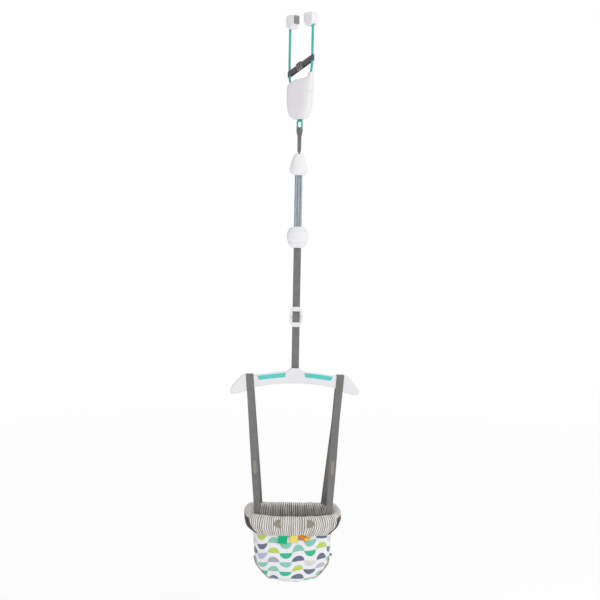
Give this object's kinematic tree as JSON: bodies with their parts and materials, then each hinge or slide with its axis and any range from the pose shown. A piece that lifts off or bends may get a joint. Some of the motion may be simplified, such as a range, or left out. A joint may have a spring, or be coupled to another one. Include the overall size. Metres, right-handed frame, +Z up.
{
  "type": "baby doorway jumper",
  "caption": "Doorway jumper: a spring clamp for a door head, a sprung strap with a slide adjuster, a spreader bar and a soft seat with leg holes.",
  "frame": {"origin": "midway between the gripping faces of the two clamp pads, at the height of the pads' underside", "axes": "+Z up; +Y is the normal of the wall that the clamp grips, away from the viewer; +X along the wall, to the viewer's right. The strap, springs, bar and seat hang turned 37.5 degrees clockwise, seen from above, as in the picture"},
  "size_m": [0.3394, 0.2952, 1.817],
  "materials": {
    "turquoise_coating": "smooth satin powder coat",
    "clamp_plastic": "smooth matte moulding",
    "grip_rubber": "matte",
    "steel": "bright zinc plated",
    "spring_steel": "bright drawn wire",
    "webbing": "woven polyester, matte",
    "slide_plastic": "matte moulding",
    "white_plastic": "smooth satin moulding",
    "turquoise_inset": "satin moulding",
    "striped_cloth": "printed cotton, fine stripes",
    "print_cloth": "printed cotton",
    "tan_tape": "woven tape",
    "green_ribbon": "satin ribbon",
    "yellow_ribbon": "satin ribbon",
    "orange_ribbon": "satin ribbon"
  },
  "bodies": {
    "clamp": {"housing_left_shell": "clamp_plastic", "housing_right_shell": "clamp_plastic", "housing_screw_1": "steel", "housing_screw_2": "steel", "housing_screw_3": "steel", "front_arm": "turquoise_coating", "arm_pivot_pin": "steel", "arm_return_spring": "steel", "safety_strap": "webbing", "front_pad_pin": "steel"},
    "strap_slide": {"strap_buckle": "slide_plastic"},
    "front_pad": {"front_pad": "clamp_plastic", "front_pad_grip": "grip_rubber"},
    "rear_arm": {"rear_arm": "turquoise_coating", "rear_pad_pin": "steel"},
    "rear_pad": {"rear_pad": "clamp_plastic", "rear_pad_grip": "grip_rubber"},
    "hook_carrier": {"hook_pin": "steel"},
    "load_hook": {"load_hook": "turquoise_coating"},
    "hook_strap": {"hook_strap": "webbing"},
    "upper_cap": {"upper_cap_front": "white_plastic", "upper_cap_rear": "white_plastic", "upper_cap_screw_1": "steel", "upper_cap_screw_2": "steel", "upper_strap_pin": "steel", "upper_spring_plate": "steel", "spring_left": "spring_steel", "spring_middle": "spring_steel", "spring_right": "spring_steel"},
    "lower_cap": {"lower_cap_front": "white_plastic", "lower_cap_rear": "white_plastic", "lower_cap_screw_1": "steel", "lower_cap_screw_2": "steel", "lower_strap_pin": "steel", "lower_spring_plate": "steel", "height_strap": "webbing"},
    "height_adjuster": {"height_adjuster": "white_plastic"},
    "bar_hanger": {"hub_pin": "steel", "height_strap_return": "webbing"},
    "spreader_bar": {"spreader_bar": "white_plastic", "bar_inset_left": "turquoise_inset", "bar_inset_right": "turquoise_inset"},
    "seat": {"seat_strap_left": "webbing", "seat_strap_right": "webbing", "strap_tag_left": "tan_tape", "strap_tag_right": "tan_tape", "seat_bag": "print_cloth", "seat_collar": "striped_cloth", "leg_binding_left": "tan_tape", "leg_binding_right": "tan_tape", "ribbon_tab_green": "green_ribbon", "ribbon_tab_yellow": "yellow_ribbon", "ribbon_tab_orange": "orange_ribbon", "toy_loop_left": "tan_tape", "toy_loop_right": "tan_tape", "side_tab": "tan_tape"}
  },
  "joints": [
    {"name": "rear_arm_open", "type": "hinge", "parent": "clamp", "child": "rear_arm", "pos_m": [0, 0.022, -0.2405], "axis": [-1, 0, 0], "range_deg": [0, 20], "stiffness_Nm_per_rad": 0.6, "springref_deg": -28.65, "deforming": ["safety_strap"]},
    {"name": "front_pad_tilt", "type": "hinge", "parent": "clamp", "child": "front_pad", "pos_m": [0, -0.0565, 0.026], "axis": [1, 0, 0], "range_deg": [-6, 6]},
    {"name": "rear_pad_tilt", "type": "hinge", "parent": "rear_arm", "child": "rear_pad", "pos_m": [0, 0.0565, 0.026], "axis": [1, 0, 0], "range_deg": [-6, 6]},
    {"name": "strap_slide_run", "type": "slide", "parent": "clamp", "child": "strap_slide", "axis": [0, 0.9291, -0.3698], "range_m": [-0.012, 0.012]},
    {"name": "hook_lift", "type": "slide", "parent": "clamp", "child": "hook_carrier", "axis": [0, 0, 1], "range_m": [0, 0.0102]},
    {"name": "hook_swing", "type": "hinge", "parent": "hook_carrier", "child": "load_hook", "pos_m": [0, 0, -0.24959], "axis": [1, 0, 0], "range_deg": [-8, 8]},
    {"name": "strap_swing", "type": "hinge", "parent": "load_hook", "child": "hook_strap", "pos_m": [0, 0, -0.324], "axis": [0, 1, 0], "range_deg": [-20, 20]},
    {"name": "seat_turn", "type": "hinge", "parent": "hook_strap", "child": "upper_cap", "pos_m": [0, 0, -0.402], "axis": [0, 0, 1], "range_deg": [-90, 90], "deforming": ["hook_strap"]},
    {"name": "bounce", "type": "slide", "parent": "upper_cap", "child": "lower_cap", "axis": [0, 0, -1], "range_m": [0, 0.12], "stiffness_N_per_m": 800, "springref_m": -0.045, "deforming": ["spring_left", "spring_middle", "spring_right"]},
    {"name": "height_adjust", "type": "slide", "parent": "lower_cap", "child": "bar_hanger", "axis": [0, 0, 1], "range_m": [-0.05, 0.08], "deforming": ["height_strap", "height_strap_return"]},
    {"name": "adjuster_run", "type": "slide", "parent": "lower_cap", "child": "height_adjuster", "axis": [0, 0, 1], "range_m": [-0.1, 0.16]},
    {"name": "bar_pitch", "type": "hinge", "parent": "bar_hanger", "child": "spreader_bar", "pos_m": [0, 0, -1.107], "axis": [0.7934, -0.6088, 0], "range_deg": [-12, 12]},
    {"name": "seat_swing", "type": "hinge", "parent": "spreader_bar", "child": "seat", "pos_m": [0, 0, -1.142], "axis": [0.7934, -0.6088, 0], "range_deg": [-20, 20], "deforming": ["seat_strap_left", "seat_strap_right"]}
  ],
  "couplings": [
    {"joint": "hook_lift", "follows": "rear_arm_open", "m_per_rad": 0.0288},
    {"joint": "adjuster_run", "follows": "height_adjust", "ratio": 2}
  ]
}
